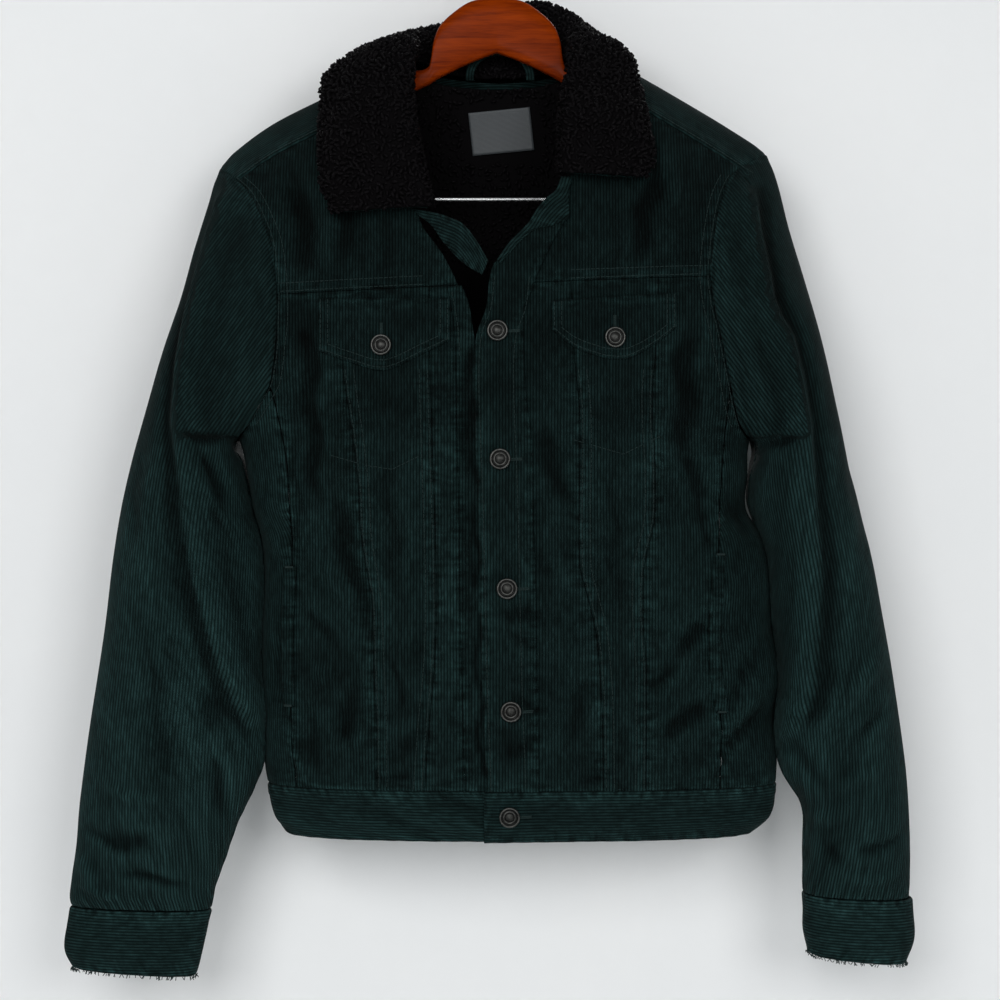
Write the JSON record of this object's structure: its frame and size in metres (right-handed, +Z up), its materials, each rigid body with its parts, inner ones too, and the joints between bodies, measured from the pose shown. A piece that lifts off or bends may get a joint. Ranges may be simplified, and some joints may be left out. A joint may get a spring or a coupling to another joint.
{
  "type": "sherpa lined jacket on a wooden hanger",
  "caption": "Corduroy trucker jacket with a fleece collar and lining, buttoned up on a wooden hanger with a metal hook and trouser bar.",
  "frame": {"origin": "inside top of the hanger hook's crook, where it hangs on a rail", "axes": "+Z up, +X to the wearer's left across the shoulders, -Y to the front of the jacket"},
  "size_m": [0.6858, 0.1477, 0.86],
  "materials": {
    "corduroy": "matt",
    "sherpa": "matt",
    "lining": "matt",
    "label": "matt",
    "button": "satin",
    "wood": "gloss",
    "steel": "gloss"
  },
  "bodies": {
    "root": {"front_yoke_right": "corduroy", "centre_front_right": "corduroy", "pocket_panel_right": "corduroy", "side_front_right": "corduroy", "front_yoke_left": "corduroy", "centre_front_left": "corduroy", "pocket_panel_left": "corduroy", "side_front_left": "corduroy", "side_panel_right": "corduroy", "side_panel_left": "corduroy", "placket_right": "corduroy", "placket_left": "corduroy", "turned_facing_right": "corduroy", "turned_facing_left": "corduroy", "pocket_flap_right": "corduroy", "welt_right": "corduroy", "pocket_flap_left": "corduroy", "welt_left": "corduroy", "back_yoke": "corduroy", "centre_back": "corduroy", "side_back_right": "corduroy", "side_back_left": "corduroy", "waistband": "corduroy", "sleeve_front_right": "corduroy", "sleeve_back_right": "corduroy", "cuff_right": "corduroy", "sleeve_front_left": "corduroy", "sleeve_back_left": "corduroy", "cuff_left": "corduroy", "sherpa_collar": "sherpa", "undercollar": "corduroy", "lining_back": "lining", "lining_right": "lining", "lining_left": "lining", "neck_label": "label", "hanging_loop": "corduroy", "front_button_1": "button", "front_button_2": "button", "front_button_3": "button", "front_button_4": "button", "front_button_5": "button", "flap_button_right": "button", "flap_button_left": "button", "hanger_board": "wood", "hanger_hook": "steel", "trouser_bar": "steel"}
  },
  "joints": []
}
